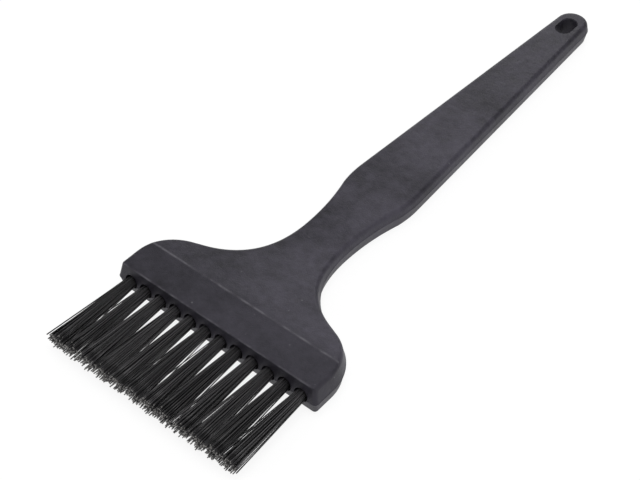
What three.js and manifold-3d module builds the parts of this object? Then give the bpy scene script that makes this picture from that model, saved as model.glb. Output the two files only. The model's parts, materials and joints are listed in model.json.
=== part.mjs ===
// A flat dusting brush: a one-piece moulded head and handle, and a single row of tufts.
// Each tuft is a bundle of filaments folded in half round a flat metal anchor, and the
// anchor is pressed into a blind hole in the front face of the head.
//
// Millimetres, +Z up. The brush lies flat: X runs across the head, the bristles point
// along -Y and the handle along +Y. The underside is one flat plane from the head to the
// end of the handle, and the moulding is symmetrical left and right of x = 0.
//
// The shapes are drawn with the front face of the head at y = 0, and the whole brush is
// then moved so that its origin is the middle of the underside of its bounding box.

import * as THREE from 'three';
import { mergeVertices } from 'three/addons/utils/BufferGeometryUtils.js';
import Module from 'manifold-3d';

// ---------------------------------------------------------------- driving dimensions

// Moulding, seen from above
const HEAD_WIDTH = 90;
const HEAD_CORNER_RADIUS = 1.6;
const HEAD_END_LENGTH = 9;          // from the front face to where the shoulder starts
const SHOULDER_RADIUS = 18;         // convex round at each back corner of the head
const SHOULDER_SLOPE = 21;          // degrees, slope of the back edge where the round ends
const NECK_WIDTH = 20;              // narrowest point between head and grip
const NECK_DISTANCE = 60;           // from the front face to the narrowest point
const GRIP_WIDTH = 28.2;            // widest point of the handle
const GRIP_DISTANCE = 94;
const HANDLE_LENGTH = 226;          // from the front face to the far end of the handle
const END_RADIUS = 7.0;             // round end of the handle
const HANG_HOLE_SETBACK = 11.2;     // from the far end to the middle of the hanging hole
const HANG_HOLE_WIDTH = 6.4;
const HANG_HOLE_LENGTH = 10.4;      // along the handle

// Moulding, seen from the side
const HEAD_THICKNESS = 11.6;
const HEAD_FLAT_LENGTH = 15;        // full thickness as far as the crease across the head
const NECK_THICKNESS = 8.2;
const END_THICKNESS = 9;
const PARTING_HEIGHT = 5;           // the mould's parting line, above the underside
const SIDE_DRAFT = 1.2;             // how far the walls lean in between there and the top
const PARTING_LAND = 0.4;           // upright band at the parting line

// Tufts and their anchors
const TUFT_COUNT = 12;
const TUFT_MARGIN = 6.5;            // from each end of the head to the middle of its end tuft
const HOLE_WALL = 1.4;              // moulding left between one tuft hole and the next
const HOLE_DEPTH = 10;
const TUFT_FREE_LENGTH = 35.5;      // from the front face to the tips
const TUFT_FLARE = 1.9;             // how much wider the tips fan out than the hole, each way
const FOLD_HEIGHT = 1.4;            // filament behind each anchor, where the tuft folds
const ANCHOR_BITE = 0.4;            // how far each end of an anchor bites into the hole's wall
const ANCHOR_WIDTH = 1.6;           // measured along the hole
const ANCHOR_THICKNESS = 0.4;
const ANCHOR_ANGLE = 45;            // degrees, turned so that no two bites meet

// Fits
const CLEARANCE = 0.3;              // between faces of neighbouring pieces

// Sizes that follow from those
const END_ROUND_DISTANCE = HANDLE_LENGTH - END_RADIUS;   // to the middle of the end's arc
const TUFT_PITCH = (HEAD_WIDTH - 2 * TUFT_MARGIN) / (TUFT_COUNT - 1);
const HOLE_RADIUS = (TUFT_PITCH - HOLE_WALL) / 2;
const TUFT_RADIUS = HOLE_RADIUS - CLEARANCE;
const TIP_RADIUS = TUFT_RADIUS + TUFT_FLARE;
const TUFT_HEIGHT = HEAD_THICKNESS / 2;
const ANCHOR_LENGTH = 2 * (HOLE_RADIUS + ANCHOR_BITE);

// Curves of the outline and of the top, as shares of the stretch that each one spans
const SWEEP = { straight: 0.14, headPull: 0.37, neckPull: 0.58 };
const FLARE = { neckPull: 0.33, kneeSetback: 0.25, kneeInset: 0.17, kneeLean: 0.4, kneePull: 0.18 };
const KNEE = { overrun: 0.06, lean: 0.14, pull: 0.09, endPull: 0.11 };
const RAMP = { neckPull: 0.35, headPull: 0.4, headDrop: 0.55 };
const FAN = { mouthSetback: 0.4, steps: 5, curve: 1.3 };

// Roundness of the model
const HOLE_SEGMENTS = 20;
const HANG_HOLE_SEGMENTS = 16;      // steps in each round end of the hanging hole
const OUTLINE_SEGMENTS = 10;        // steps in each curve of the outline
const OVERSHOOT = 5;                // how far a cutting tool runs past what it cuts

// ---------------------------------------------------------------- materials

/** One matt black finish for the moulding. */
function mouldingMaterial() {
  return new THREE.MeshStandardMaterial({ color: 0x34343a, roughness: 0.62, metalness: 0 });
}

/** Black synthetic filament, a little glossier than the moulding. */
function filamentMaterial() {
  return new THREE.MeshStandardMaterial({ color: 0x17171a, roughness: 0.42, metalness: 0 });
}

/** Flat plated wire. */
function anchorMaterial() {
  return new THREE.MeshStandardMaterial({ color: 0xb9b6ae, roughness: 0.35, metalness: 1 });
}

// ---------------------------------------------------------------- solids

const wasm = await Module();
wasm.setup();

/** Turn a closed three.js geometry into a solid that can be cut and joined. */
function solid(geometry) {
  const bare = geometry.index ? geometry.toNonIndexed() : geometry.clone();
  bare.deleteAttribute('normal');
  bare.deleteAttribute('uv');
  const merged = mergeVertices(bare, 1e-5);
  return new wasm.Manifold(new wasm.Mesh({
    numProp: 3,
    vertProperties: new Float32Array(merged.attributes.position.array),
    triVerts: new Uint32Array(merged.index.array),
  }));
}

/** Turn a solid back into a three.js geometry. */
function geometryOf(manifold) {
  const mesh = manifold.getMesh();
  const geometry = new THREE.BufferGeometry();
  geometry.setAttribute('position', new THREE.BufferAttribute(mesh.vertProperties, 3));
  geometry.setIndex(new THREE.BufferAttribute(mesh.triVerts, 1));
  geometry.computeVertexNormals();
  return geometry;
}

/** A named piece of the brush. */
function piece(name, manifold, material) {
  const mesh = new THREE.Mesh(geometryOf(manifold), material);
  mesh.name = name;
  return mesh;
}

// ---------------------------------------------------------------- moulding

/** The right half of the outline, from the front corner to the end of the handle. */
function drawRightSide(path) {
  drawHeadEnd(path);
  drawSweepToNeck(path);
  drawFlareToGrip(path);
  drawTaperToEnd(path);
}

/** Front corner, straight end and convex shoulder of the head. */
function drawHeadEnd(path) {
  const halfHead = HEAD_WIDTH / 2;
  const corner = HEAD_CORNER_RADIUS;
  path.moveTo(0, 0);
  path.lineTo(halfHead - corner, 0);
  path.absarc(halfHead - corner, corner, corner, -Math.PI / 2, 0, false);
  path.lineTo(halfHead, HEAD_END_LENGTH);
  path.absarc(halfHead - SHOULDER_RADIUS, HEAD_END_LENGTH, SHOULDER_RADIUS,
    0, Math.PI / 2 - THREE.MathUtils.degToRad(SHOULDER_SLOPE), false);
}

/** Back edge of the head, straight on from the shoulder and then sweeping into the neck. */
function drawSweepToNeck(path) {
  const halfNeck = NECK_WIDTH / 2;
  const slope = THREE.MathUtils.degToRad(SHOULDER_SLOPE);
  const along = new THREE.Vector2(-Math.cos(slope), Math.sin(slope));
  const reach = NECK_DISTANCE - HEAD_END_LENGTH - SHOULDER_RADIUS;
  const start = path.currentPoint.clone().addScaledVector(along, reach * SWEEP.straight);
  const pull = start.clone().addScaledVector(along, reach * SWEEP.headPull);
  path.lineTo(start.x, start.y);
  path.bezierCurveTo(pull.x, pull.y, halfNeck, NECK_DISTANCE - reach * SWEEP.neckPull,
    halfNeck, NECK_DISTANCE);
}

/** The neck opening out to the knee, where the grip is widest. */
function drawFlareToGrip(path) {
  const halfNeck = NECK_WIDTH / 2;
  const halfGrip = GRIP_WIDTH / 2;
  const reach = GRIP_DISTANCE - NECK_DISTANCE;
  const rise = halfGrip - halfNeck;
  const knee = new THREE.Vector2(
    halfGrip - rise * FLARE.kneeInset,
    GRIP_DISTANCE - reach * FLARE.kneeSetback,
  );
  const kneeEnd = new THREE.Vector2(halfGrip, GRIP_DISTANCE + reach * KNEE.overrun);
  const endPull = reach * KNEE.endPull;
  path.bezierCurveTo(halfNeck, NECK_DISTANCE + reach * FLARE.neckPull,
    knee.x - rise * FLARE.kneeLean, knee.y - reach * FLARE.kneePull, knee.x, knee.y);
  path.bezierCurveTo(knee.x + rise * KNEE.lean, knee.y + reach * KNEE.pull,
    kneeEnd.x + Math.tan(taperLean()) * endPull, kneeEnd.y - endPull,
    kneeEnd.x, kneeEnd.y);
}

/** How far the sides of the grip lean in towards the round end, in radians. */
function taperLean() {
  return Math.asin((GRIP_WIDTH / 2 - END_RADIUS) / (END_ROUND_DISTANCE - GRIP_DISTANCE));
}

/** Straight taper of the grip and the round end, tangent to each other. */
function drawTaperToEnd(path) {
  const lean = taperLean();
  path.lineTo(END_RADIUS * Math.cos(lean), END_ROUND_DISTANCE + END_RADIUS * Math.sin(lean));
  path.absarc(0, END_ROUND_DISTANCE, END_RADIUS, lean, Math.PI / 2, false);
}

/** The closed outline of the moulding at its parting line. */
function mouldingOutline() {
  const half = new THREE.Path();
  drawRightSide(half);
  const right = half.getPoints(OUTLINE_SEGMENTS);
  const left = right.slice(1, -1).reverse().map((p) => new THREE.Vector2(-p.x, p.y));
  return new THREE.Shape([...right, ...left]);
}

/** The moulding with its walls leaning in both ways from the parting line. */
function draftedBlank() {
  const farFace = Math.max(HEAD_THICKNESS - PARTING_HEIGHT, PARTING_HEIGHT);
  const rise = farFace - PARTING_LAND / 2;
  const geometry = new THREE.ExtrudeGeometry(mouldingOutline(), {
    depth: PARTING_LAND,
    bevelEnabled: true,
    bevelSegments: 1,
    bevelThickness: rise,
    bevelSize: SIDE_DRAFT,
    bevelOffset: -SIDE_DRAFT,
  });
  geometry.translate(0, 0, PARTING_HEIGHT - PARTING_LAND / 2);
  return solid(geometry);
}

/** The space between the flat underside and the top: head, ramp to the neck, handle. */
function thicknessProfile() {
  const end = HANDLE_LENGTH;
  const ramp = NECK_DISTANCE - HEAD_FLAT_LENGTH;
  const drop = HEAD_THICKNESS - NECK_THICKNESS;
  const rise = (END_THICKNESS - NECK_THICKNESS) / (end - NECK_DISTANCE);
  const shape = new THREE.Shape();
  shape.moveTo(-OVERSHOOT, 0);
  shape.lineTo(end + OVERSHOOT, 0);
  shape.lineTo(end + OVERSHOOT, END_THICKNESS + rise * OVERSHOOT);
  shape.lineTo(NECK_DISTANCE, NECK_THICKNESS);
  shape.bezierCurveTo(NECK_DISTANCE - ramp * RAMP.neckPull, NECK_THICKNESS,
    HEAD_FLAT_LENGTH + ramp * RAMP.headPull, HEAD_THICKNESS - drop * RAMP.headDrop,
    HEAD_FLAT_LENGTH, HEAD_THICKNESS);
  shape.lineTo(-OVERSHOOT, HEAD_THICKNESS);
  const length = HEAD_WIDTH + 2 * OVERSHOOT;
  const geometry = new THREE.ExtrudeGeometry(shape,
    { depth: length, bevelEnabled: false, curveSegments: OUTLINE_SEGMENTS });

  // stand the drawing up: its x becomes Y, its y becomes Z, and it runs along X
  geometry.translate(0, 0, -length / 2);
  geometry.rotateX(Math.PI / 2);
  geometry.rotateZ(Math.PI / 2);
  return solid(geometry);
}

/** Where the middle of each tuft stands along the row. */
function tuftPositions() {
  return Array.from({ length: TUFT_COUNT }, (_, i) => (i - (TUFT_COUNT - 1) / 2) * TUFT_PITCH);
}

/** A round bar along Y, from one distance to another. */
function barAlongY(radius, from, to) {
  const geometry = new THREE.CylinderGeometry(radius, radius, to - from, HOLE_SEGMENTS);
  geometry.translate(0, (from + to) / 2, 0);
  return solid(geometry);
}

/** The flat strip of an anchor, or with a margin the pocket that it lies in. */
function anchorStrip(margin) {
  const geometry = new THREE.BoxGeometry(
    ANCHOR_LENGTH + 2 * margin,
    ANCHOR_WIDTH + 2 * margin,
    ANCHOR_THICKNESS + 2 * margin,
  );
  geometry.rotateY(THREE.MathUtils.degToRad(ANCHOR_ANGLE));
  geometry.translate(0, HOLE_DEPTH - CLEARANCE - FOLD_HEIGHT - CLEARANCE - ANCHOR_WIDTH / 2, 0);
  return solid(geometry);
}

/** The long round-ended hanging hole, as the plug that cuts it. */
function hangHolePlug() {
  const radius = HANG_HOLE_WIDTH / 2;
  const straight = (HANG_HOLE_LENGTH - HANG_HOLE_WIDTH) / 2;
  const middle = HANDLE_LENGTH - HANG_HOLE_SETBACK;
  const shape = new THREE.Shape();
  shape.absarc(0, middle + straight, radius, 0, Math.PI, false);
  shape.absarc(0, middle - straight, radius, Math.PI, 2 * Math.PI, false);
  const geometry = new THREE.ExtrudeGeometry(shape, {
    depth: HEAD_THICKNESS + 2 * OVERSHOOT,
    bevelEnabled: false,
    curveSegments: HANG_HOLE_SEGMENTS,
  });
  geometry.translate(0, 0, -OVERSHOOT);
  return solid(geometry);
}

/** The head and handle: one moulding, with a blind hole for each tuft and a hanging hole. */
function makeHandle() {
  let body = draftedBlank().intersect(thicknessProfile());
  const socket = barAlongY(HOLE_RADIUS, -OVERSHOOT, HOLE_DEPTH).add(anchorStrip(CLEARANCE));
  for (const x of tuftPositions()) {
    body = body.subtract(socket.translate([x, 0, TUFT_HEIGHT]));
  }
  return body.subtract(hangHolePlug());
}

// ---------------------------------------------------------------- tufts

/** A free-standing tuft, round in its hole and fanned out towards the tips. */
function fannedTuft() {
  const foot = HOLE_DEPTH - CLEARANCE;
  const mouth = -TUFT_RADIUS * FAN.mouthSetback;
  const tip = -TUFT_FREE_LENGTH;
  const profile = [new THREE.Vector2(0, tip)];
  for (let i = 0; i <= FAN.steps; i += 1) {
    const share = 1 - i / FAN.steps;
    const radius = TUFT_RADIUS + (TIP_RADIUS - TUFT_RADIUS) * share ** FAN.curve;
    profile.push(new THREE.Vector2(radius, mouth + (tip - mouth) * share));
  }
  profile.push(new THREE.Vector2(TUFT_RADIUS, foot - FOLD_HEIGHT / 2));
  profile.push(new THREE.Vector2(TUFT_RADIUS - FOLD_HEIGHT / 2, foot));
  profile.push(new THREE.Vector2(0, foot));
  return solid(new THREE.LatheGeometry(profile, HOLE_SEGMENTS));
}

/** The space that one tuft has between its neighbours; an end tuft is free on one side. */
function tuftSpace(index) {
  const half = (TUFT_PITCH - CLEARANCE) / 2;
  const open = TIP_RADIUS + OVERSHOOT;
  const left = index === 0 ? -open : -half;
  const right = index === TUFT_COUNT - 1 ? open : half;
  const length = TUFT_FREE_LENGTH + HOLE_DEPTH + 2 * OVERSHOOT;
  const geometry = new THREE.BoxGeometry(right - left, length, 2 * open);
  geometry.translate((left + right) / 2, (HOLE_DEPTH - TUFT_FREE_LENGTH) / 2, 0);
  return solid(geometry);
}

/** One tuft: filaments folded round the anchor, so a slot for it runs right through. */
function makeTuft(index) {
  return fannedTuft().intersect(tuftSpace(index)).subtract(anchorStrip(CLEARANCE));
}

// ---------------------------------------------------------------- assembly

/** The whole brush, drawn with its front face at y = 0 and its underside at z = 0. */
function buildBrush() {
  const brush = new THREE.Group();
  brush.add(piece('handle', makeHandle(), mouldingMaterial()));
  tuftPositions().forEach((x, i) => {
    const number = String(i + 1).padStart(2, '0');
    const tuft = piece(`tuft_${number}`, makeTuft(i), filamentMaterial());
    const anchor = piece(`anchor_${number}`, anchorStrip(0), anchorMaterial());
    for (const mesh of [tuft, anchor]) {
      mesh.position.set(x, 0, TUFT_HEIGHT);
      brush.add(mesh);
    }
  });
  return brush;
}

const brush = buildBrush();
brush.position.y = (TUFT_FREE_LENGTH - HANDLE_LENGTH) / 2;
brush.updateMatrixWorld(true);

export default brush;
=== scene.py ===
"""A flat dusting brush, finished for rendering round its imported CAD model.

The brush is one moulding with a row of twelve blind holes in the front face of its head.
Each hole holds a tuft of filaments, folded in half round a flat metal anchor. The CAD
model gives the places and sizes. This script models the fine surface of the moulding and
every filament, and keeps the CAD anchors with a finish of their own.

Metres, +Z up. X runs across the head, the bristles point along -Y and the handle along +Y.
"""

import json
import logging
import math
import random
from dataclasses import dataclass, field
from enum import Enum
from typing import Callable, Sequence

import bpy
import numpy as np
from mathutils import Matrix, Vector

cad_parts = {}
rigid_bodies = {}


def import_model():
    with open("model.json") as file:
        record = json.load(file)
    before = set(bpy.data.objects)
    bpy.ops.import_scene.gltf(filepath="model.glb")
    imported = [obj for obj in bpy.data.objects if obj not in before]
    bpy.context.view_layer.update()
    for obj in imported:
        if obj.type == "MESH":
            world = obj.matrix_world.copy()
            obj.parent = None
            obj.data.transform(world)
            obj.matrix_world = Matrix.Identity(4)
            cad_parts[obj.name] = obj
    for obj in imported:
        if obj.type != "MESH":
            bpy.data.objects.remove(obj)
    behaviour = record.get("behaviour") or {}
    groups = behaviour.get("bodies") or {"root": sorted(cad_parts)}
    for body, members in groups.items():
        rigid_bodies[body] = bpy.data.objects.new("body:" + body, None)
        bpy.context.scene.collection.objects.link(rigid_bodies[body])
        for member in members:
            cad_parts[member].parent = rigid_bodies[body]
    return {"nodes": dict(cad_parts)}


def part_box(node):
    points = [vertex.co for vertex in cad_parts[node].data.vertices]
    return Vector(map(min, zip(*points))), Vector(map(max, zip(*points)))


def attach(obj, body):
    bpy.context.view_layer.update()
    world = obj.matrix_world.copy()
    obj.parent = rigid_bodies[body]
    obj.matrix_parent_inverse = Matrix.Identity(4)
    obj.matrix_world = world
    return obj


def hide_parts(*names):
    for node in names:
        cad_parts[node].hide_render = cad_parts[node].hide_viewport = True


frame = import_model()

log = logging.getLogger("dusting_brush")

MM = 0.001
BODY = "root"

Point = tuple[float, float]


class Slot(Enum):
    """The record's material slots, by name."""

    MOULDING = "moulding"
    FILAMENT = "filament"
    ANCHOR_WIRE = "anchor_wire"


# ---------------------------------------------------------------------------- modelling


def make_active(obj: bpy.types.Object) -> None:
    """Select this object alone and make it the active one."""
    for other in bpy.context.view_layer.objects:
        other.select_set(False)
    obj.select_set(True)
    bpy.context.view_layer.objects.active = obj


def new_piece(name: str) -> bpy.types.Object:
    """Name the primitive that was just added and move its place into its mesh."""
    obj = bpy.context.object
    obj.name = name
    obj.data.name = name
    make_active(obj)
    bpy.ops.object.transform_apply(location=True, rotation=True, scale=True)
    return obj


def edit(obj: bpy.types.Object, mode: str) -> None:
    """Open the mesh for editing with nothing selected.

    Args:
        obj: The mesh object to edit.
        mode: What selections are made of: VERT, EDGE or FACE.
    """
    make_active(obj)
    bpy.ops.object.mode_set(mode="EDIT")
    bpy.ops.mesh.select_mode(type=mode)
    bpy.ops.mesh.select_all(action="DESELECT")
    bpy.ops.object.mode_set(mode="OBJECT")


def pick_faces(obj: bpy.types.Object, test: Callable[[bpy.types.MeshPolygon], bool]) -> int:
    """Leave the mesh in edit mode with the faces that pass a test selected.

    Args:
        obj: The mesh object to edit.
        test: Says whether a face belongs to the selection.

    Returns:
        How many faces are selected.
    """
    edit(obj, "FACE")
    for polygon in obj.data.polygons:
        polygon.select = test(polygon)
    count = sum(polygon.select for polygon in obj.data.polygons)
    bpy.ops.object.mode_set(mode="EDIT")
    return count


def pick_edges(obj: bpy.types.Object, test: Callable[[Vector, Vector, list[Vector]], bool]) -> int:
    """Leave the mesh in edit mode with the edges that pass a test selected.

    Args:
        obj: The mesh object to edit.
        test: Is given both ends of an edge and the normals of the faces that it joins.

    Returns:
        How many edges are selected.
    """
    edit(obj, "EDGE")
    mesh = obj.data
    normals: dict[tuple[int, int], list[Vector]] = {}
    for polygon in mesh.polygons:
        for key in polygon.edge_keys:
            normals.setdefault(key, []).append(polygon.normal)
    for edge in mesh.edges:
        start, end = (mesh.vertices[i].co for i in edge.vertices)
        edge.select = test(start, end, normals.get(tuple(sorted(edge.vertices)), []))
    count = sum(edge.select for edge in mesh.edges)
    bpy.ops.object.mode_set(mode="EDIT")
    return count


def close_edit() -> None:
    """Go back to object mode."""
    bpy.ops.object.mode_set(mode="OBJECT")


def apply_modifier(obj: bpy.types.Object, kind: str, **settings: object) -> None:
    """Add a modifier with these settings and apply it to the mesh."""
    make_active(obj)
    modifier = obj.modifiers.new(kind.lower(), kind)
    for name, value in settings.items():
        setattr(modifier, name, value)
    bpy.ops.object.modifier_apply(modifier=modifier.name)


def cut(obj: bpy.types.Object, tool: bpy.types.Object) -> None:
    """Cut the shape of a tool out of an object, and remove the tool."""
    apply_modifier(obj, "BOOLEAN", operation="DIFFERENCE", object=tool, solver="MANIFOLD")
    bpy.data.objects.remove(tool)


def dress(piece: bpy.types.Object, material: bpy.types.Material) -> None:
    """Give a piece this finish all over."""
    piece.data.materials.clear()
    piece.data.materials.append(material)


def fasten(piece: bpy.types.Object, slot: Slot, *nodes: str) -> None:
    """Let a finished piece ride on the brush and stand for its CAD nodes."""
    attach(piece, BODY)
    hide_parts(*nodes)
    piece.data.calc_loop_triangles()
    log.info("%s: %d triangles", piece.name, len(piece.data.loop_triangles))


# ----------------------------------------------------------------------------- finishes


@dataclass(frozen=True)
class Nodes:
    """A small builder for the nodes of one material."""

    material: bpy.types.Material

    def add(self, kind: str, **settings: object) -> bpy.types.Node:
        """Add a node of this kind and set its properties."""
        node = self.material.node_tree.nodes.new(kind)
        for name, value in settings.items():
            setattr(node, name, value)
        return node

    def link(self, source: bpy.types.NodeSocket, target: bpy.types.NodeSocket) -> None:
        """Join two sockets."""
        self.material.node_tree.links.new(source, target)

    def noise(self, place: bpy.types.NodeSocket, scale: float, detail: float,
              roughness: float = 0.5) -> bpy.types.NodeSocket:
        """Noise of this scale, in features per metre.

        Args:
            place: The coordinates that the noise follows.
            scale: How many features it has in a metre.
            detail: How many finer octaves it has.
            roughness: How strong the finer octaves are.

        Returns:
            The noise's value socket.
        """
        node = self.add("ShaderNodeTexNoise")
        node.inputs["Scale"].default_value = scale
        node.inputs["Detail"].default_value = detail
        node.inputs["Roughness"].default_value = roughness
        self.link(place, node.inputs["Vector"])
        return node.outputs["Fac"]

    def spread(self, value: bpy.types.NodeSocket, low: Point, high: Point) -> bpy.types.NodeSocket:
        """Map a value from one range to another, clamped.

        Args:
            value: The socket to read.
            low: The low end before and after.
            high: The high end before and after.

        Returns:
            The mapped value's socket.
        """
        node = self.add("ShaderNodeMapRange")
        node.inputs["From Min"].default_value = low[0]
        node.inputs["From Max"].default_value = high[0]
        node.inputs["To Min"].default_value = low[1]
        node.inputs["To Max"].default_value = high[1]
        self.link(value, node.inputs["Value"])
        return node.outputs["Result"]

    def sum(self, first: bpy.types.NodeSocket, second: bpy.types.NodeSocket,
            operation: str = "ADD") -> bpy.types.NodeSocket:
        """Join two values with a math operation and give the result's socket."""
        node = self.add("ShaderNodeMath", operation=operation)
        self.link(first, node.inputs[0])
        self.link(second, node.inputs[1])
        return node.outputs["Value"]

    def blend(self, share: bpy.types.NodeSocket, dark: Sequence[float],
              light: Sequence[float]) -> bpy.types.NodeSocket:
        """Mix two colours by a share and give the colour's socket."""
        node = self.add("ShaderNodeMix", data_type="RGBA")
        node.inputs["A"].default_value = (*dark, 1.0)
        node.inputs["B"].default_value = (*light, 1.0)
        self.link(share, node.inputs["Factor"])
        return node.outputs["Result"]

    def split(self, place: bpy.types.NodeSocket) -> bpy.types.Node:
        """Split coordinates into X, Y and Z."""
        node = self.add("ShaderNodeSeparateXYZ")
        self.link(place, node.inputs[0])
        return node

    def over(self, under: bpy.types.NodeSocket, share: bpy.types.NodeSocket,
             colour: Sequence[float]) -> bpy.types.NodeSocket:
        """Lay one plain colour over another by a share and give the colour's socket."""
        node = self.add("ShaderNodeMix", data_type="RGBA")
        node.inputs["B"].default_value = (*colour, 1.0)
        self.link(share, node.inputs["Factor"])
        self.link(under, node.inputs["A"])
        return node.outputs["Result"]

    def bump(self, height: bpy.types.NodeSocket, depth: float,
             strength: float = 1.0) -> bpy.types.NodeSocket:
        """Turn a height between 0 and 1 into a normal.

        Args:
            height: The height's socket.
            depth: How deep the relief is, in metres.
            strength: How much of it shows.

        Returns:
            The normal's socket.
        """
        node = self.add("ShaderNodeBump")
        node.inputs["Strength"].default_value = strength
        node.inputs["Distance"].default_value = depth
        self.link(height, node.inputs["Height"])
        return node.outputs["Normal"]


def blank_material(name: str) -> tuple[Nodes, bpy.types.Node]:
    """A material with only its shader.

    Args:
        name: The material's name.

    Returns:
        The node builder and the shader node.
    """
    material = bpy.data.materials.new(name)
    material.use_nodes = True
    return Nodes(material), material.node_tree.nodes["Principled BSDF"]


@dataclass(frozen=True)
class MattPlastic:
    """Matt black conductive plastic: cloudy, finely grained, with a few pale specks, a painted
    highlight with some rub wear along given lines, and painted shade over the front band.

    Scales are in features per metre, and a pair is the part of a noise that a tone spans.
    """

    dark: tuple[float, float, float] = (0.0045, 0.0041, 0.0065)
    light: tuple[float, float, float] = (0.052, 0.048, 0.064)
    sheen_tint: tuple[float, float, float] = (0.92, 0.89, 1.0)
    gloss: float = 0.42
    roughness: float = 0.5
    smoother: float = 0.06
    rougher: float = 0.08
    cloud_scale: float = 34.0
    cloud_span: Point = (0.38, 0.62)
    cloud_share: float = 0.55
    mottle_scale: float = 306.0
    mottle_span: Point = (0.36, 0.64)
    speck: tuple[float, float, float] = (0.10, 0.10, 0.108)
    speck_scale: float = 700.0
    speck_span: Point = (0.76, 0.84)
    speck_share: float = 0.8
    grain_scale: float = 2600.0
    grain_depth: float = 0.00005
    dent_scale: float = 210.0
    dent_depth: float = 0.00022
    # Painted highlight, partly rub wear: a paler tone along each given line across the top, to a
    # width either side, fading in above a height.
    wear_and_highlight: tuple[float, float, float] = (0.13, 0.125, 0.14)
    wear_and_highlight_lines: tuple[float, ...] = ()
    wear_and_highlight_above: float = 0.0
    wear_and_highlight_width: float = 0.65 * MM
    wear_and_highlight_step: float = 0.2 * MM
    patch_scale: float = 170.0
    patch_span: Point = (0.42, 0.62)
    patch_share: Point = (0.12, 0.75)
    # The band of painted shade over the head's top, in front of the crease.
    band_end: float = 0.0
    band_lead: float = 1 * MM
    band_fade: float = 4 * MM
    painted_shade_tone: float = 0.55

    def material(self) -> bpy.types.Material:
        """Make the material."""
        nodes, shader = blank_material("matt_black_plastic")
        place = nodes.add("ShaderNodeTexCoord").outputs["Object"]
        mottle = nodes.noise(place, self.mottle_scale, 5.0, 0.7)
        skin = nodes.blend(self.tone(nodes, place, mottle), self.dark, self.light)
        specks = nodes.spread(nodes.noise(place, self.speck_scale, 1.0),
                              (self.speck_span[0], 0.0), (self.speck_span[1], self.speck_share))
        skin = nodes.over(skin, specks, self.speck)
        patches = nodes.spread(nodes.noise(place, self.patch_scale, 3.0),
                               (self.patch_span[0], self.patch_share[0]),
                               (self.patch_span[1], self.patch_share[1]))
        # Paint a highlight, with some rub wear, along each line across the top, broken up by the
        # patches.
        for line in self.wear_and_highlight_lines:
            share = nodes.sum(self.near(nodes, place, line), patches, "MULTIPLY")
            skin = nodes.over(skin, share, self.wear_and_highlight)
        nodes.link(skin, shader.inputs["Base Color"])
        nodes.link(nodes.spread(mottle, (0.3, self.roughness - self.smoother),
                                (0.7, self.roughness + self.rougher)), shader.inputs["Roughness"])
        grain = nodes.spread(nodes.noise(place, self.grain_scale, 2.0), (0.2, 0.0), (0.8, 1.0))
        fine = nodes.bump(grain, self.grain_depth)
        coarse = nodes.bump(nodes.noise(place, self.dent_scale, 2.0), self.dent_depth)
        nodes.link(coarse, fine.node.inputs["Normal"])
        nodes.link(fine, shader.inputs["Normal"])
        shader.inputs["Specular IOR Level"].default_value = self.gloss
        shader.inputs["Specular Tint"].default_value = (*self.sheen_tint, 1.0)
        return nodes.material

    def tone(self, nodes: Nodes, place: bpy.types.NodeSocket,
             mottle: bpy.types.NodeSocket) -> bpy.types.NodeSocket:
        """How light the skin is: clouds and mottle, darkened by painted shade on the head's top in
        front of the crease.

        Args:
            nodes: The node builder.
            place: The object's coordinates.
            mottle: The noise of the mottle.

        Returns:
            A value from 0 for dark to 1 for light.
        """
        clouds = nodes.noise(place, self.cloud_scale, 4.0, 0.6)
        tone = nodes.sum(nodes.spread(clouds, (self.cloud_span[0], 0.0),
                                      (self.cloud_span[1], self.cloud_share)),
                         nodes.spread(mottle, (self.mottle_span[0], 0.0),
                                      (self.mottle_span[1], 1 - self.cloud_share)))
        # Painted shade: the head's top in front of the crease is darkened to the shade tone,
        # fading out just behind the crease.
        front_painted_shade = nodes.spread(nodes.split(place).outputs["Y"],
                               (self.band_end - self.band_lead, self.painted_shade_tone),
                               (self.band_end + self.band_fade, 1.0))
        return nodes.sum(tone, front_painted_shade, "MULTIPLY")

    def near(self, nodes: Nodes, place: bpy.types.NodeSocket, line: float) -> bpy.types.NodeSocket:
        """Where the painted highlight and rub wear lie: how near the top's surface is to a line
        across the head.

        Args:
            nodes: The node builder.
            place: The object's coordinates.
            line: Where the line is along Y.

        Returns:
            A value that is 1 on the line and 0 away from it and below the top.
        """
        split = nodes.split(place)
        offset = nodes.add("ShaderNodeMath", operation="SUBTRACT")
        offset.inputs[1].default_value = line
        nodes.link(split.outputs["Y"], offset.inputs[0])
        distance = nodes.add("ShaderNodeMath", operation="ABSOLUTE")
        nodes.link(offset.outputs["Value"], distance.inputs[0])
        across = nodes.spread(distance.outputs["Value"], (0.0, 1.0), (self.wear_and_highlight_width, 0.0))
        up = nodes.spread(split.outputs["Z"], (self.wear_and_highlight_above, 0.0),
                          (self.wear_and_highlight_above + self.wear_and_highlight_step, 1.0))
        return nodes.sum(across, up, "MULTIPLY")


@dataclass(frozen=True)
class Filament:
    """Black synthetic filament, each one a shade of its own and paler where it was cut."""

    dark: tuple[float, float, float] = (0.0015, 0.0015, 0.0017)
    light: tuple[float, float, float] = (0.05, 0.0475, 0.051)
    cut_end: tuple[float, float, float] = (0.24, 0.23, 0.22)
    cut_span: Point = (0.994, 0.999)
    gloss: float = 0.5
    dull: float = 0.34
    shiny: float = 0.19

    def material(self) -> bpy.types.Material:
        """Make the material."""
        nodes, shader = blank_material("black_filament")
        tone = nodes.add("ShaderNodeAttribute", attribute_name=Tuft.TONE).outputs["Fac"]
        along = nodes.add("ShaderNodeAttribute", attribute_name=Tuft.ALONG).outputs["Fac"]
        body = nodes.blend(tone, self.dark, self.light)
        cut = nodes.spread(along, (self.cut_span[0], 0.0), (self.cut_span[1], 1.0))
        nodes.link(nodes.over(body, cut, self.cut_end), shader.inputs["Base Color"])
        nodes.link(nodes.spread(tone, (0.0, self.dull), (1.0, self.shiny)),
                   shader.inputs["Roughness"])
        shader.inputs["Specular IOR Level"].default_value = self.gloss
        return nodes.material


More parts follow.
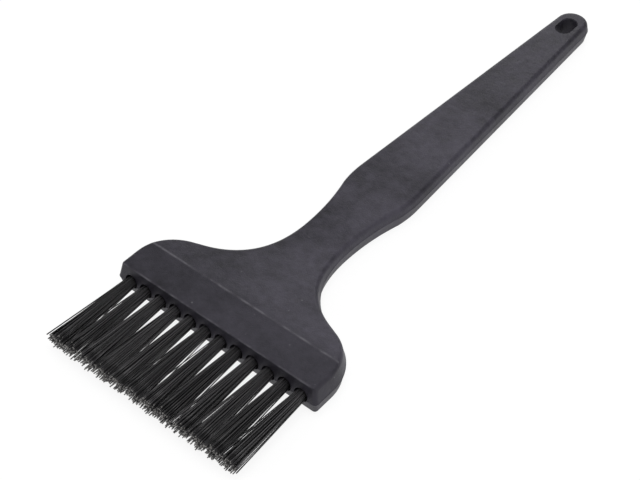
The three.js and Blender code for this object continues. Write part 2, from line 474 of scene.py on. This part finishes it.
@dataclass(frozen=True)
class DrawnWire:
    """Flat plated wire, drawn along its length."""

    bright: tuple[float, float, float] = (0.62, 0.60, 0.56)
    dull: tuple[float, float, float] = (0.38, 0.36, 0.33)
    angle: float = math.radians(45)
    stretch: float = 0.05
    line_scale: float = 4000.0
    line_depth: float = 0.00002

    def material(self) -> bpy.types.Material:
        """Make the material."""
        nodes, shader = blank_material("drawn_wire")
        place = nodes.add("ShaderNodeTexCoord").outputs["Object"]
        stretch = nodes.add("ShaderNodeMapping")
        stretch.inputs["Rotation"].default_value = (0.0, self.angle, 0.0)
        stretch.inputs["Scale"].default_value = (self.stretch, 1.0, 1.0)
        nodes.link(place, stretch.inputs["Vector"])
        lines = nodes.noise(stretch.outputs["Vector"], self.line_scale, 2.0)
        nodes.link(nodes.blend(lines, self.dull, self.bright), shader.inputs["Base Color"])
        nodes.link(nodes.spread(lines, (0.3, 0.28), (0.7, 0.46)), shader.inputs["Roughness"])
        nodes.link(nodes.bump(lines, self.line_depth), shader.inputs["Normal"])
        shader.inputs["Metallic"].default_value = 1.0
        return nodes.material


# ----------------------------------------------------------------------------- moulding


def bezier(a: Point, b: Point, c: Point, d: Point, steps: int) -> list[Point]:
    """Points along a cubic curve, without its first point.

    Args:
        a: Where the curve starts.
        b: Its first control point.
        c: Its second control point.
        d: Where it ends.
        steps: How many stretches it is divided into.

    Returns:
        The points.
    """
    points = []
    for i in range(1, steps + 1):
        t = i / steps
        weights = ((1 - t) ** 3, 3 * t * (1 - t) ** 2, 3 * t * t * (1 - t), t ** 3)
        points.append(tuple(sum(w * p[k] for w, p in zip(weights, (a, b, c, d))) for k in (0, 1)))
    return points


def arc(centre: Point, radius: float, start: float, end: float, steps: int) -> list[Point]:
    """Points along an arc, without its first point; angles in radians from +X."""
    angles = [start + (end - start) * i / steps for i in range(1, steps + 1)]
    return [(centre[0] + radius * math.cos(a), centre[1] + radius * math.sin(a)) for a in angles]


@dataclass(frozen=True)
class Outline:
    """The moulding seen from above, as far as its parting line. y is 0 at the front face."""

    half_head: float
    length: float
    head_end: float = 9 * MM
    shoulder_radius: float = 18 * MM
    shoulder_slope: float = math.radians(21)
    half_neck: float = 10 * MM
    neck: float = 60 * MM
    half_grip: float = 14.1 * MM
    grip: float = 94 * MM
    end_radius: float = 7.0 * MM
    crease: float = 15 * MM
    crease_row: float = 0.6 * MM
    top_inset: float = 1.2 * MM

    @property
    def lean(self) -> float:
        """How far the sides of the grip lean in towards the round end."""
        run = self.length - self.end_radius - self.grip
        return math.asin((self.half_grip - self.end_radius) / run)

    def right_side(self) -> list[Point]:
        """The right half of the outline, from the front corner to the end of the handle."""
        points = [(self.half_head, self.head_end * i / 3) for i in range(4)]
        points += self.shoulder()
        points += self.sweep(points[-1])
        points += self.flare(points[-1])
        points += self.taper()
        return points

    def shoulder(self) -> list[Point]:
        """The round at the back corner of the head, with a point where the crease meets it."""
        centre = (self.half_head - self.shoulder_radius, self.head_end)
        crease = self.crease - self.head_end
        inner = self.shoulder_radius - self.top_inset
        angles = [0.0]
        angles += [math.asin((crease + step * self.crease_row) / inner) for step in (-1, 0, 1)]
        angles.append(math.pi / 2 - self.shoulder_slope)
        points = []
        for start, end, steps in zip(angles, angles[1:], (6, 1, 1, 16)):
            points += arc(centre, self.shoulder_radius, start, end, steps)
        return points

    def sweep(self, corner: Point) -> list[Point]:
        """The back edge of the head, straight from the shoulder and then down to the neck."""
        reach = self.neck - self.head_end - self.shoulder_radius
        along = (-math.cos(self.shoulder_slope), math.sin(self.shoulder_slope))
        start = tuple(corner[k] + 0.14 * reach * along[k] for k in (0, 1))
        pull = tuple(start[k] + 0.37 * reach * along[k] for k in (0, 1))
        neck = (self.half_neck, self.neck)
        return [start] + bezier(start, pull, (self.half_neck, self.neck - 0.58 * reach), neck, 26)

    def flare(self, neck: Point) -> list[Point]:
        """The neck opening out to the knee, where the grip is widest."""
        reach = self.grip - self.neck
        rise = self.half_grip - self.half_neck
        knee = (self.half_grip - 0.17 * rise, self.grip - 0.25 * reach)
        end = (self.half_grip, self.grip + 0.06 * reach)
        pull = 0.11 * reach
        return (bezier(neck, (self.half_neck, self.neck + 0.33 * reach),
                       (knee[0] - 0.4 * rise, knee[1] - 0.18 * reach), knee, 16)
                + bezier(knee, (knee[0] + 0.14 * rise, knee[1] + 0.09 * reach),
                         (end[0] + math.tan(self.lean) * pull, end[1] - pull), end, 10))

    def taper(self) -> list[Point]:
        """The straight side of the grip and the round end, tangent to each other."""
        centre = (0.0, self.length - self.end_radius)
        first = arc(centre, self.end_radius, self.lean, self.lean, 1)
        return first + arc(centre, self.end_radius, self.lean, math.pi / 2, 16)


@dataclass
class Moulding:
    """The head and handle, in one moulding."""

    low: Vector
    high: Vector
    parting: float = 5.0 * MM
    land: float = 0.4 * MM
    draft: float = 1.2 * MM
    neck_thickness: float = 8.2 * MM
    end_thickness: float = 9.0 * MM
    side_round: float = 1.5 * MM
    front_round: float = 0.55 * MM
    base_round: float = 0.5 * MM
    corner_round: float = 1.6 * MM
    flash: float = 0.09 * MM
    hole_setback: float = 11.2 * MM
    hole_width: float = 6.4 * MM
    hole_length: float = 10.4 * MM
    hole_round: float = 0.35 * MM
    hole_steps: int = 6

    @property
    def front(self) -> float:
        """Where the front face is."""
        return self.low.y

    @property
    def head_thickness(self) -> float:
        """How thick the head is."""
        return self.high.z

    @property
    def outline(self) -> Outline:
        """The outline that fits the CAD model's width and length."""
        return Outline(half_head=self.high.x, length=self.high.y - self.low.y,
                       top_inset=self.draft)

    def top_height(self, y: float) -> float:
        """How high the top is at this distance from the front face.

        Args:
            y: Distance from the front face.

        Returns:
            The height above the underside.
        """
        outline = self.outline
        if y <= outline.crease:
            return self.head_thickness
        if y >= outline.neck:
            share = (y - outline.neck) / (outline.length - outline.neck)
            return self.neck_thickness + share * (self.end_thickness - self.neck_thickness)
        run = outline.neck - outline.crease
        drop = self.head_thickness - self.neck_thickness
        crease = (outline.crease, self.head_thickness)
        head_pull = (outline.crease + 0.4 * run, self.head_thickness - 0.55 * drop)
        neck_pull = (outline.neck - 0.35 * run, self.neck_thickness)
        neck = (outline.neck, self.neck_thickness)
        ramp = [crease] + bezier(crease, head_pull, neck_pull, neck, 60)
        return float(np.interp(y, [p[0] for p in ramp], [p[1] for p in ramp]))

    def build(self) -> bpy.types.Object:
        """Model the moulding without its holes."""
        body = self.outline_strip()
        self.raise_walls(body)
        self.settle_top(body)
        self.clear_flats(body)
        self.round_edges(body)
        self.raise_flash(body)
        return body

    def outline_strip(self) -> bpy.types.Object:
        """The outline as a flat strip at the parting line, drawn out row by row."""
        rows = self.outline.right_side()
        height = self.parting - self.land / 2
        first, second = rows[0], rows[1]
        bpy.ops.mesh.primitive_plane_add(
            size=1.0, location=(0, self.front + (first[1] + second[1]) / 2, height))
        bpy.context.object.scale = (2 * first[0], second[1] - first[1], 1.0)
        body = new_piece("handle_moulding")
        leading = self.front + second[1] - MM / 10
        pick_edges(body, lambda a, b, _: min(a.y, b.y) > leading)
        for before, after in zip(rows[1:], rows[2:]):
            bpy.ops.mesh.extrude_region_move(
                TRANSFORM_OT_translate={"value": (0, after[1] - before[1], 0)})
            if after[0] > MM / 100:
                bpy.ops.transform.resize(value=(after[0] / before[0], 1, 1),
                                         center_override=(0, self.front + after[1], height))
            else:
                bpy.ops.mesh.merge(type="CENTER")
        close_edit()
        return body

    def raise_walls(self, body: bpy.types.Object) -> None:
        """Give the strip its land, then its leaning walls above and below."""
        pick_faces(body, lambda face: True)
        bpy.ops.mesh.extrude_region_move(TRANSFORM_OT_translate={"value": (0, 0, self.land)})
        bpy.ops.mesh.select_all(action="SELECT")
        bpy.ops.mesh.normals_make_consistent(inside=False)
        close_edit()
        rise = self.head_thickness - self.parting - self.land / 2
        fall = self.parting - self.land / 2
        pick_faces(body, lambda face: face.normal.z > 0.9)
        bpy.ops.mesh.inset(thickness=self.draft, depth=rise)
        close_edit()
        pick_faces(body, lambda face: face.normal.z < -0.9)
        bpy.ops.mesh.inset(thickness=self.draft * fall / rise, depth=fall)
        close_edit()

    def settle_top(self, body: bpy.types.Object) -> None:
        """Slide the top's rim down its walls until it meets the side profile."""
        mesh = body.data
        above = self.parting + self.land
        for edge in mesh.edges:
            foot, rim = sorted((mesh.vertices[i] for i in edge.vertices), key=lambda v: v.co.z)
            if rim.co.z < above or foot.co.z > above:
                continue
            wall = rim.co - foot.co
            share = 1.0
            for _ in range(6):
                height = self.top_height(foot.co.y + share * wall.y - self.front)
                share = (height - foot.co.z) / wall.z
            rim.co = foot.co + share * wall

    def clear_flats(self, body: bpy.types.Object) -> None:
        """Take out the rows across the underside and the handle, so that each is one face."""
        neck = self.front + self.outline.neck + MM / 2
        above = self.parting + self.land

        def crosses(a: Vector, b: Vector, normals: list[Vector]) -> bool:
            """Whether an edge runs straight across a flat face from rim to rim."""
            inner = all(abs(n.z) > 0.9 for n in normals) and a.x * b.x < 0
            on_top = a.z > above and a.y > neck
            return inner and len(normals) == 2 and (on_top or a.z < MM)

        pick_edges(body, crosses)
        bpy.ops.mesh.dissolve_edges(use_verts=False)
        close_edit()

    def round_edges(self, body: bpy.types.Object) -> None:
        """Round every edge by its own radius."""
        widest = max(self.side_round, self.front_round, self.base_round, self.corner_round)
        above = self.parting + self.land
        near_front = self.front + 2 * self.draft
        near_end = self.high.x - 2 * self.draft

        def corner(a: Vector, b: Vector, _: list[Vector]) -> bool:
            """An upright edge at one end of the front face."""
            at_end = all(p.y < near_front and abs(p.x) > near_end for p in (a, b))
            return at_end and abs(a.z - b.z) > MM / 10

        def rim(a: Vector, b: Vector, normals: list[Vector], top: bool) -> bool:
            """An edge between a wall and the top or the underside."""
            level = all(p.z > above for p in (a, b)) if top else all(p.z < MM / 10 for p in (a, b))
            steep = sorted(abs(n.z) for n in normals)
            return level and len(steep) == 2 and steep[0] < 0.6 and steep[1] > 0.9

        def front(a: Vector, b: Vector) -> bool:
            """Whether an edge runs along the front face."""
            return a.x * b.x < 0 and max(a.y, b.y) < near_front

        kinds = [
            (self.corner_round, corner),
            (self.front_round, lambda a, b, n: rim(a, b, n, True) and front(a, b)),
            (self.side_round, lambda a, b, n: rim(a, b, n, True) and not front(a, b)),
            (self.base_round, lambda a, b, n: rim(a, b, n, False)),
        ]
        for radius, test in kinds:
            pick_edges(body, test)
            bpy.ops.transform.edge_bevelweight(value=radius / widest)
            close_edit()
        apply_modifier(body, "BEVEL", width=widest, segments=6, limit_method="WEIGHT",
                       offset_type="OFFSET", use_clamp_overlap=False)

    def raise_flash(self, body: bpy.types.Object) -> None:
        """Leave a fine ridge of flash along the parting line."""
        low = self.parting - self.land * 0.55
        high = self.parting + self.land * 0.55
        heights = [v.co.z for v in body.data.vertices]
        pick_faces(body, lambda face: all(low < heights[i] < high for i in face.vertices))
        bpy.ops.mesh.inset(thickness=self.land / 5, depth=self.flash)
        close_edit()

    def hanging_hole_tool(self) -> bpy.types.Object:
        """The tool that cuts the hanging hole and rounds its rims."""
        middle = self.high.y - self.hole_setback
        radius = self.hole_width / 2
        straight = (self.hole_length - self.hole_width) / 2
        top = self.top_height(middle - self.front)
        depth = top - 2 * self.hole_round
        bpy.ops.mesh.primitive_cylinder_add(vertices=64, radius=radius, depth=depth,
                                            location=(0, middle, top / 2))
        tool = new_piece("hanging_hole_tool")
        for vertex in tool.data.vertices:
            side = vertex.co.y - middle
            if abs(side) > MM / 100:
                vertex.co.y += math.copysign(straight, side)
        for up in (1, -1):
            pick_faces(tool, lambda face: face.normal.z * up > 0.9)
            self.flare_tool(radius, straight, middle, up)
            close_edit()
        return tool

    def flare_tool(self, radius: float, straight: float, middle: float, up: int) -> None:
        """Draw the tool's selected end out along a quarter round, and then past the surface.

        Args:
            radius: The round ends' radius inside the hole.
            straight: Half the length of the straight sides.
            middle: Where the middle of the hole is along Y.
            up: 1 for the top end and -1 for the lower one.
        """
        turns = [math.pi / 2 * k / self.hole_steps for k in range(self.hole_steps + 1)]
        for turn, after in zip(turns, turns[1:]):
            was, wide = (radius + self.hole_round * (1 - math.cos(t)) for t in (turn, after))
            rise = self.hole_round * (math.sin(after) - math.sin(turn))
            bpy.ops.mesh.extrude_region_move(
                TRANSFORM_OT_translate={"value": (0, 0, up * rise)})
            bpy.ops.transform.resize(
                value=(wide / was, (wide + straight) / (was + straight), 1),
                center_override=(0, middle, 0))
        bpy.ops.mesh.extrude_region_move(TRANSFORM_OT_translate={"value": (0, 0, up * MM)})


# ------------------------------------------------------------------------- tufts, anchors


@dataclass
class Socket:
    """The blind hole for one tuft, with the pocket that its anchor bites into."""

    centre: Vector
    radius: float
    depth: float
    anchor_low: Vector
    anchor_high: Vector
    anchor_angle: float = math.radians(45)
    clearance: float = 0.3 * MM
    anchor_thickness: float = 0.4 * MM
    anchor_length: float = 6.4 * MM

    def tool(self) -> bpy.types.Object:
        """The tool that cuts the hole and the pocket."""
        overshoot = 2 * MM
        bpy.ops.mesh.primitive_cylinder_add(
            vertices=40, radius=self.radius, depth=self.depth + overshoot,
            location=(self.centre.x, self.centre.y + (self.depth - overshoot) / 2, self.centre.z),
            rotation=(math.pi / 2, 0, 0))
        hole = new_piece("socket_hole_tool")
        middle = (self.anchor_low + self.anchor_high) / 2
        bpy.ops.mesh.primitive_cube_add(size=1.0, location=middle)
        bpy.context.object.rotation_euler = (0, self.anchor_angle, 0)
        bpy.context.object.scale = (
            self.anchor_length + 2 * self.clearance,
            self.anchor_high.y - self.anchor_low.y + 2 * self.clearance,
            self.anchor_thickness + 2 * self.clearance)
        pocket = new_piece("socket_pocket_tool")
        apply_modifier(hole, "BOOLEAN", operation="UNION", object=pocket, solver="MANIFOLD")
        bpy.data.objects.remove(pocket)
        return hole


@dataclass
class Tuft:
    """A bundle of filaments, each folded in half round the anchor in its hole."""

    TONE = "filament_tone"
    ALONG = "filament_along"
    SEED = 4100

    number: int
    low: Vector
    high: Vector
    mouth: float
    anchor_back: float
    anchor_front: float
    filament_radius: float = 0.22 * MM
    mouth_radius: float = 2.05 * MM
    spacing: float = 0.445 * MM
    fold_gap: float = 0.38 * MM
    splay: float = 1.95
    flatness: float = 0.86
    lift: float = 1.12
    stray: float = 0.30 * MM
    stray_flatness: float = 0.8
    wild_share: float = 0.06
    wild_reach: float = 2.6
    overlong: float = 0.25 * MM
    ragged: float = 0.9 * MM
    jitter: float = 0.03 * MM
    thickness_range: Point = (0.88, 1.08)
    fold_narrowing: float = 0.9
    fold_swell: float = 0.8
    fold_height: float = 0.9 * MM
    bow: float = 0.3 * MM
    sides: int = 5
    reach_steps: int = 5
    fold_steps: int = 4
    anchor_angle: float = math.radians(45)
    chance: random.Random = field(init=False)

    def __post_init__(self) -> None:
        """Give each tuft a chance sequence of its own."""
        self.chance = random.Random(self.SEED + self.number)

    @property
    def name(self) -> str:
        """The piece's name."""
        return f"tuft_filaments_{self.number:02d}"

    @property
    def node(self) -> str:
        """The CAD node that the filaments stand for."""
        return f"tuft_{self.number:02d}"

    def template(self) -> bpy.types.Object:
        """One straight filament of unit length, divided into its steps."""
        bpy.ops.mesh.primitive_cylinder_add(vertices=self.sides, radius=1.0, depth=1.0,
                                            location=(0, 0, 0.5))
        filament = new_piece(self.name)
        pick_edges(filament, lambda a, b, _: abs(a.z - b.z) > 0.5)
        bpy.ops.mesh.subdivide(number_cuts=self.stretches - 1)
        close_edit()
        return filament

    def roots(self) -> list[Point]:
        """Where filaments leave the hole on one side of the anchor.

        Returns:
            For each one, its place along the anchor and its distance from it.
        """
        places = []
        row_height = self.spacing * math.sqrt(3) / 2
        rows = int(self.mouth_radius / row_height) + 1
        for row in range(rows):
            across = self.spacing * 0.5 + row * row_height
            for column in range(-rows - 2, rows + 3):
                along = (column + 0.5 * (row % 2)) * self.spacing
                if math.hypot(along, across) < self.mouth_radius:
                    places.append((along, across))
        return places

    def path(self, along: float, across: float) -> np.ndarray:
        """The line of one folded filament, from one cut end to the other.

        Args:
            along: Place along the anchor where it leaves the hole.
            across: Distance from the anchor's plane there.

        Returns:
            The points that it passes through.
        """
        first = self.leg(along, across)
        second = self.leg(along, -across)
        share = across / self.mouth_radius
        widest = self.mouth_radius * self.fold_swell
        half_width = self.fold_gap + share * (widest - self.fold_gap)
        height = self.fold_gap * 0.6 + share * self.fold_height
        fold = []
        for i in range(self.fold_steps + 1):
            angle = math.pi * i / self.fold_steps
            side = half_width * math.cos(angle)
            fold.append((*self.turn(along * self.fold_narrowing, side),
                         self.anchor_back + height * math.sin(angle)))
        points = first[::-1] + fold + second
        return np.array([(x, y, z) for x, z, y in points])

    def turn(self, along: float, across: float) -> Point:
        """Turn a place measured from the anchor into one measured across the head."""
        c, s = math.cos(self.anchor_angle), math.sin(self.anchor_angle)
        return along * c + across * s, -along * s + across * c

    def leg(self, along: float, across: float) -> list[tuple[float, float, float]]:
        """One half of a filament, from beside the anchor to its cut end.

        Args:
            along: Place along the anchor where it leaves the hole.
            across: Distance from the anchor's plane there.

        Returns:
            Its points as x, z and y.
        """
        x, z = self.turn(along, across)
        chance = self.chance
        reach = self.mouth - self.low.y
        wander = self.stray * (self.wild_reach if chance.random() < self.wild_share else 1.0)
        tip_x = x * self.splay + chance.gauss(0, wander)
        tip_z = z * self.splay * self.flatness + chance.gauss(0, wander * self.stray_flatness)
        limit = self.high.z - self.centre_height - self.filament_radius
        tip_z = max(-limit, min(limit, tip_z))
        length = reach - abs(chance.gauss(0, self.ragged)) + self.overlong
        bow_x, bow_z = (chance.gauss(0, self.bow) for _ in range(2))
        points = [(x, z, self.anchor_front)]
        for i in range(self.reach_steps + 1):
            share = i / self.reach_steps
            lift = share ** self.lift
            swell = share * (1 - share) * 2
            points.append((x + (tip_x - x) * lift + bow_x * swell,
                           z + (tip_z - z) * lift + bow_z * swell,
                           self.mouth - length * share))
        return points

    @property
    def stretches(self) -> int:
        """How many stretches a filament has: two legs, and the fold between them."""
        return 2 * (self.reach_steps + 2) + self.fold_steps

    @property
    def centre_height(self) -> float:
        """How high the middle of the tuft is."""
        return (self.low.z + self.high.z) / 2

    def build(self, middle: float) -> bpy.types.Object:
        """Model every filament of the tuft.

        Args:
            middle: Where the middle of the hole is along the row.

        Returns:
            The tuft.
        """
        filament = self.template()
        base = np.array([v.co for v in filament.data.vertices])
        faces = [list(p.vertices) for p in filament.data.polygons]
        rings = np.rint(base[:, 2] * self.stretches).astype(int)
        verts, polygons, tones, alongs = [], [], [], []
        for along, across in self.roots():
            jitter = [self.chance.gauss(0, self.jitter) for _ in range(2)]
            line = self.path(along + jitter[0], across + abs(jitter[1]))
            centres = line[rings]
            thickness = self.filament_radius * self.chance.uniform(*self.thickness_range)
            section = self.sections(line, base[:, :2] * thickness, rings)
            offset = len(verts) * len(base)
            verts.append(centres + section)
            polygons += [[i + offset for i in face] for face in faces]
            tones.append(np.full(len(base), self.chance.random()))
            alongs.append(np.abs(rings / rings.max() - 0.5) * 2)
        points = np.concatenate(verts) + np.array([middle, 0.0, self.centre_height])
        mesh = bpy.data.meshes.new(self.name)
        mesh.from_pydata(points.tolist(), [], polygons)
        for name, values in ((self.TONE, tones), (self.ALONG, alongs)):
            attribute = mesh.attributes.new(name, "FLOAT", "POINT")
            attribute.data.foreach_set("value", np.concatenate(values).astype(np.float32))
        filament.data = mesh
        return filament

    @staticmethod
    def sections(line: np.ndarray, flat: np.ndarray, rings: np.ndarray) -> np.ndarray:
        """Turn a filament's round section square to its line at every ring.

        Args:
            line: The points of the line.
            flat: Each vertex's place in the section.
            rings: Which point of the line each vertex belongs to.

        Returns:
            Each vertex's distance from its point of the line.
        """
        along = np.gradient(line, axis=0)
        along /= np.linalg.norm(along, axis=1, keepdims=True)
        side = np.zeros_like(line)
        side[0] = np.cross(along[0], (0.3, 0.1, 0.9))
        for i in range(1, len(line)):
            side[i] = side[i - 1] - along[i] * np.dot(side[i - 1], along[i])
        side /= np.linalg.norm(side, axis=1, keepdims=True)
        up = np.cross(along, side)
        return side[rings] * flat[:, :1] + up[rings] * flat[:, 1:2]


@dataclass
class Brush:
    """The whole brush."""

    tuft_count: int = 12
    hole_radius: float = 2.8 * MM
    hole_depth: float = 10 * MM

    def build(self) -> None:
        """Model and dress every piece."""
        filament = Filament().material()
        wire = DrawnWire().material()
        self.build_moulding()
        for number in range(1, self.tuft_count + 1):
            self.build_tuft(number, filament)
            anchor = frame["nodes"][f"anchor_{number:02d}"]
            dress(anchor, wire)
            log.info("%s: CAD shape kept", anchor.name)

    def build_moulding(self) -> None:
        """Model and dress the moulding and cut its holes."""
        moulding = Moulding(*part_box("handle"))
        # The plastic paints a highlight, with some rub wear, along the front top edge and the
        # crease, and paints shade over the head's top in front of the crease.
        plastic = MattPlastic(
            wear_and_highlight_lines=(moulding.front + moulding.draft, moulding.front + moulding.outline.crease),
            wear_and_highlight_above=moulding.head_thickness - MM / 2,
            band_end=moulding.front + moulding.outline.crease).material()
        body = moulding.build()
        for number in range(1, self.tuft_count + 1):
            anchor_low, anchor_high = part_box(f"anchor_{number:02d}")
            middle = (anchor_low + anchor_high) / 2
            centre = Vector((middle.x, moulding.front, middle.z))
            socket = Socket(centre, self.hole_radius, self.hole_depth, anchor_low, anchor_high)
            cut(body, socket.tool())
        cut(body, moulding.hanging_hole_tool())
        make_active(body)
        bpy.ops.object.shade_smooth_by_angle(angle=math.radians(35))
        apply_modifier(body, "WEIGHTED_NORMAL", keep_sharp=True, weight=80)
        dress(body, plastic)
        fasten(body, Slot.MOULDING, "handle")

    def build_tuft(self, number: int, filament: bpy.types.Material) -> None:
        """Model and dress one tuft."""
        low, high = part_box(f"tuft_{number:02d}")
        anchor_low, anchor_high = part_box(f"anchor_{number:02d}")
        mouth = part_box("handle")[0].y
        tuft = Tuft(number, low, high, mouth, anchor_high.y, anchor_low.y)
        piece = tuft.build((anchor_low.x + anchor_high.x) / 2)
        make_active(piece)
        bpy.ops.object.shade_smooth()
        dress(piece, filament)
        fasten(piece, Slot.FILAMENT, tuft.node)


# ------------------------------------------------------------------------------- studio


@dataclass(frozen=True)
class Softbox:
    """A square area light that looks at a point."""

    name: str
    place: tuple[float, float, float]
    size: float
    power: float
    aim: tuple[float, float, float] = (0.0, 0.0, 0.0)

    def build(self) -> None:
        """Hang the light."""
        data = bpy.data.lights.new(self.name, "AREA")
        data.size = self.size
        data.energy = self.power
        lamp = bpy.data.objects.new(self.name, data)
        lamp.location = self.place
        beam = Vector(self.aim) - Vector(self.place)
        lamp.rotation_euler = beam.to_track_quat("-Z", "Y").to_euler()
        bpy.context.scene.collection.objects.link(lamp)


@dataclass(frozen=True)
class Studio:
    """A pale floor, soft light and the camera."""

    azimuth: float = math.radians(39.85)
    elevation: float = math.radians(45.99)
    distance: float = 0.51245
    aim: tuple[float, float, float] = (-0.00178, -0.03703, 0.005)
    lens: float = 80.7
    sensor: float = 36.0
    floor_size: float = 6.0
    floor_gap: float = 0.0003
    floor_glow: float = 1.1
    floor_share: float = 0.8
    ambient: float = 0.28

    def build(self) -> None:
        """Set up everything round the object."""
        self.place_camera()
        self.lay_floor()
        self.light_world()
        for lamp in (
            Softbox("top_softbox", (0.1, -0.05, 1.1), 0.9, 6.0),
            Softbox("back_softbox", (-0.65, 1.15, 0.5), 0.8, 4.5),
            Softbox("right_softbox", (1.1, 0.2, 0.5), 0.8, 3.2),
            Softbox("front_softbox", (-0.7, -1.0, 0.75), 0.5, 3.0),
        ):
            lamp.build()
        bpy.context.scene.view_settings.view_transform = "Standard"

    def place_camera(self) -> None:
        """Aim the camera."""
        data = bpy.data.cameras.new("camera")
        data.lens = self.lens
        data.sensor_width = self.sensor
        camera = bpy.data.objects.new("camera", data)
        flat = math.cos(self.elevation)
        back = Vector((flat * math.sin(self.azimuth), -flat * math.cos(self.azimuth),
                       math.sin(self.elevation)))
        camera.location = Vector(self.aim) + self.distance * back
        camera.rotation_euler = (math.pi / 2 - self.elevation, 0.0, self.azimuth)
        bpy.context.scene.collection.objects.link(camera)
        bpy.context.scene.camera = camera

    def lay_floor(self) -> None:
        """Lay a floor that looks white to the camera and keeps the shadow."""
        bpy.ops.mesh.primitive_plane_add(size=self.floor_size, location=(0, 0, -self.floor_gap))
        floor = new_piece("floor")
        nodes, shader = blank_material("pale_floor")
        shader.inputs["Base Color"].default_value = (0.8, 0.8, 0.8, 1.0)
        shader.inputs["Roughness"].default_value = 0.9
        glow = nodes.add("ShaderNodeEmission")
        glow.inputs["Strength"].default_value = self.floor_glow
        seen = self.seen_directly(nodes)
        mix = nodes.add("ShaderNodeMixShader")
        nodes.link(nodes.spread(seen, (0.0, 0.0), (1.0, self.floor_share)), mix.inputs["Fac"])
        nodes.link(shader.outputs["BSDF"], mix.inputs[1])
        nodes.link(glow.outputs["Emission"], mix.inputs[2])
        output = nodes.material.node_tree.nodes["Material Output"]
        nodes.link(mix.outputs["Shader"], output.inputs["Surface"])
        dress(floor, nodes.material)

    @staticmethod
    def seen_directly(nodes: Nodes) -> bpy.types.NodeSocket:
        """A value that is 1 for the camera and for what mirrors and glass show."""
        path = nodes.add("ShaderNodeLightPath")
        seen = nodes.sum(path.outputs["Is Camera Ray"], path.outputs["Is Glossy Ray"], "MAXIMUM")
        return nodes.sum(seen, path.outputs["Is Transmission Ray"], "MAXIMUM")

    def light_world(self) -> None:
        """Fill from all round, and white behind everything."""
        world = bpy.data.worlds.new("studio")
        world.use_nodes = True
        bpy.context.scene.world = world
        nodes = Nodes(world)
        background = world.node_tree.nodes["Background"]
        background.inputs["Color"].default_value = (1.0, 1.0, 1.0, 1.0)
        path = nodes.add("ShaderNodeLightPath")
        nodes.link(nodes.spread(path.outputs["Is Camera Ray"], (0.0, self.ambient), (1.0, 1.0)),
                   background.inputs["Strength"])


# --------------------------------------------------------------------------------- main


def main() -> None:
    """Build the studio and the brush."""
    logging.basicConfig(level=logging.INFO, format="%(name)s: %(message)s")
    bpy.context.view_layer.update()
    Studio().build()
    Brush().build()


if __name__ == "__main__":
    main()
